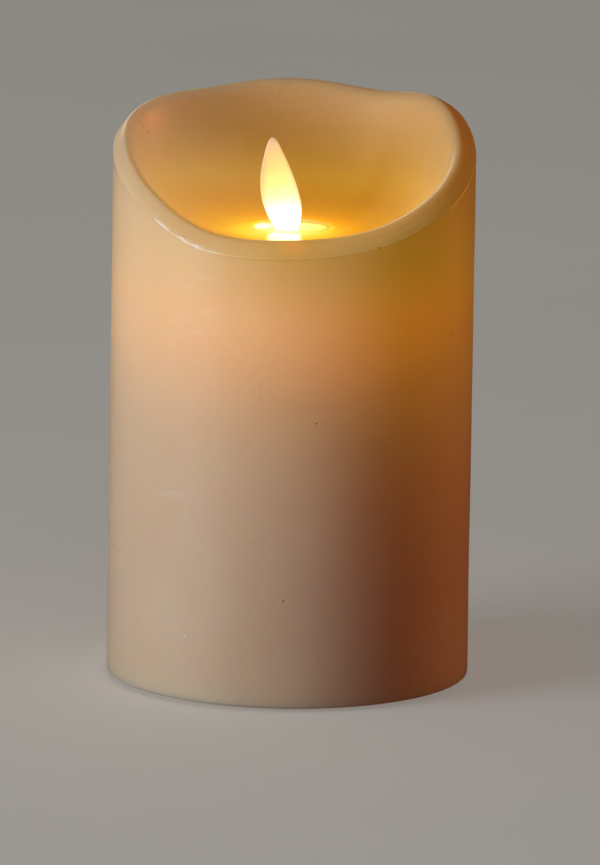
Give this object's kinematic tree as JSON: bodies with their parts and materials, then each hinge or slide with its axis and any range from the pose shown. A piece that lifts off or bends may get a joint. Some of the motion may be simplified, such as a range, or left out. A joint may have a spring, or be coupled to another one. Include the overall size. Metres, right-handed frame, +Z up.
{
  "type": "flameless led candle",
  "caption": "Wax-shell pillar candle with a swinging flame leaf, a lit melted-edge bowl, a drive coil, a battery bay with a hinged door, and a slide switch.",
  "frame": {"origin": "on the resting surface, on the candle's axis: the centre of the bounding box's bottom face", "axes": "+Z up along the candle's axis, -Y towards the front (the low side of the rim), +X to the right seen from the front"},
  "size_m": [0.08, 0.08, 0.1268],
  "materials": {
    "wax": "satin",
    "core_plastic": "satin",
    "module_plastic": "matte",
    "flame_plastic": "satin",
    "magnet_nickel": "polished",
    "lamp_epoxy": "gloss",
    "tinned_metal": "satin",
    "bobbin_plastic": "matte",
    "soft_iron": "satin",
    "copper_enamel": "gloss",
    "base_plastic": "satin",
    "cell_can": "gloss",
    "spring_steel": "satin",
    "contact_nickel": "satin",
    "foot_rubber": "matte",
    "screw_steel": "satin",
    "switch_plastic": "matte",
    "knob_plastic": "satin",
    "board_laminate": "gloss",
    "chip_epoxy": "matte",
    "capacitor_sleeve": "gloss",
    "resistor_ceramic": "satin",
    "wire_red": "satin",
    "wire_black": "satin",
    "wire_yellow": "satin"
  },
  "bodies": {
    "candle": {"wax_shell": "wax", "inner_sleeve": "core_plastic", "module_shell_left": "module_plastic", "module_shell_right": "module_plastic", "module_joining_screws": "screw_steel", "module_mounting_screws": "screw_steel", "pivot_wire": "spring_steel", "led_lamp": "lamp_epoxy", "led_leads": "tinned_metal", "led_holder": "module_plastic", "coil_bobbin": "bobbin_plastic", "coil_core": "soft_iron", "coil_winding": "copper_enamel", "coil_pins": "tinned_metal", "base_housing": "base_plastic", "battery_cell_1": "cell_can", "battery_cell_2": "cell_can", "negative_spring": "spring_steel", "link_spring": "spring_steel", "negative_contact": "contact_nickel", "positive_contact": "contact_nickel", "link_contact": "contact_nickel", "rubber_feet": "foot_rubber", "base_screws": "screw_steel", "switch_body": "switch_plastic", "switch_terminals": "tinned_metal", "switch_screws": "screw_steel", "circuit_board": "board_laminate", "controller_chip": "chip_epoxy", "capacitor": "capacitor_sleeve", "driver_transistor": "chip_epoxy", "resistors": "resistor_ceramic", "board_screws": "screw_steel", "led_wire_red": "wire_red", "led_wire_black": "wire_black", "coil_wire_left": "wire_yellow", "coil_wire_right": "wire_yellow", "battery_wire_black": "wire_black", "battery_wire_red": "wire_red", "switch_wire_red": "wire_red", "switch_wire_yellow": "wire_yellow"},
    "flame": {"flame_leaf": "flame_plastic", "flame_magnet": "magnet_nickel"},
    "door": {"battery_door": "base_plastic"},
    "switch_knob": {"switch_slider": "knob_plastic"}
  },
  "joints": [
    {"name": "flame_swing", "type": "hinge", "parent": "candle", "child": "flame", "pos_m": [0, 0, 0.087], "axis": [0, 1, 0], "range_deg": [-3.5, 20.5]},
    {"name": "battery_door_hinge", "type": "hinge", "parent": "candle", "child": "door", "pos_m": [0, 0.017, 0.003], "axis": [1, 0, 0], "range_deg": [0, 90]},
    {"name": "power_switch_slide", "type": "slide", "parent": "candle", "child": "switch_knob", "axis": [1, 0, 0], "range_m": [0, 0.004]}
  ]
}
